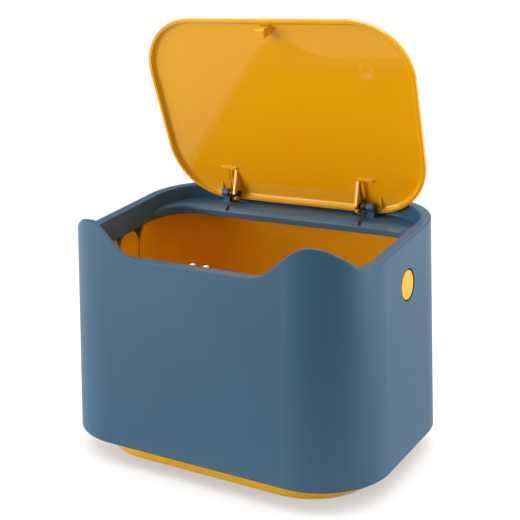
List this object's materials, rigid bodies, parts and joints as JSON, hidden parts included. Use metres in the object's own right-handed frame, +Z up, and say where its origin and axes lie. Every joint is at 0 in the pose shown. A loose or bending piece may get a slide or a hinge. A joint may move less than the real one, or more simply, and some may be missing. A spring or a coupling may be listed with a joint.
{
  "type": "small lidded litter bin",
  "caption": "Rounded box-shaped bin with a lift-off shell over an inner bucket, a sprung flip-up lid and two side push buttons.",
  "frame": {"origin": "middle of the object's bounding box, on the ground under the bucket's plinth", "axes": "+X to the bin's own side with the right push button, -Y out of the front, +Z up"},
  "size_m": [0.209, 0.1494, 0.2616],
  "materials": {
    "blue_shell": "satin moulded",
    "yellow_bucket": "satin moulded",
    "yellow_lid": "glossy moulded",
    "dark_steel": "blackened",
    "spring_wire": "drawn wire",
    "black_latch": "moulded",
    "white_latch": "moulded"
  },
  "bodies": {
    "base": {"outer_shell": "blue_shell", "inner_bucket": "yellow_bucket", "hinge_pin_left": "dark_steel", "hinge_pin_right": "dark_steel", "torsion_spring_left": "spring_wire", "torsion_spring_right": "spring_wire", "latch_housing": "black_latch", "latch_cam_pin": "dark_steel", "latch_screws": "dark_steel", "latch_spring": "spring_wire"},
    "lid": {"lid": "yellow_lid"},
    "tongue_left": {"snap_tongue_left": "yellow_bucket"},
    "tongue_right": {"snap_tongue_right": "yellow_bucket"},
    "slider": {"latch_slider": "white_latch", "jaw_pins": "dark_steel"},
    "jaw_left": {"latch_jaw_left": "white_latch"},
    "jaw_right": {"latch_jaw_right": "white_latch"}
  },
  "joints": [
    {"name": "lid_hinge", "type": "hinge", "parent": "base", "child": "lid", "pos_m": [0, 0.05502, 0.14567], "axis": [1, 0, 0], "range_deg": [0, 77.4], "stiffness_Nm_per_rad": 0.03, "springref_deg": -34.38, "deforming": ["torsion_spring_left", "torsion_spring_right"]},
    {"name": "button_left", "type": "hinge", "parent": "base", "child": "tongue_left", "pos_m": [-0.0986, 0.001, 0.07], "axis": [0, 1, 0], "range_deg": [0, 3.3], "stiffness_Nm_per_rad": 0.5},
    {"name": "button_right", "type": "hinge", "parent": "base", "child": "tongue_right", "pos_m": [0.0986, 0.001, 0.07], "axis": [0, -1, 0], "range_deg": [0, 3.3], "stiffness_Nm_per_rad": 0.5},
    {"name": "latch_push", "type": "slide", "parent": "base", "child": "slider", "axis": [0, 0, 1], "range_m": [-0.0016, 0], "stiffness_N_per_m": 400, "springref_m": 0.001, "deforming": ["latch_spring"]},
    {"name": "jaw_left_pivot", "type": "hinge", "parent": "slider", "child": "jaw_left", "pos_m": [-0.0048, -0.06052, 0.11859], "axis": [0, 1, 0], "range_deg": [0, 5.6]},
    {"name": "jaw_right_pivot", "type": "hinge", "parent": "slider", "child": "jaw_right", "pos_m": [0.0048, -0.06052, 0.11859], "axis": [0, -1, 0], "range_deg": [0, 5.6]}
  ],
  "couplings": [
    {"joint": "jaw_left_pivot", "follows": "latch_push", "rad_per_m": -60.1},
    {"joint": "jaw_right_pivot", "follows": "latch_push", "rad_per_m": -60.1}
  ]
}
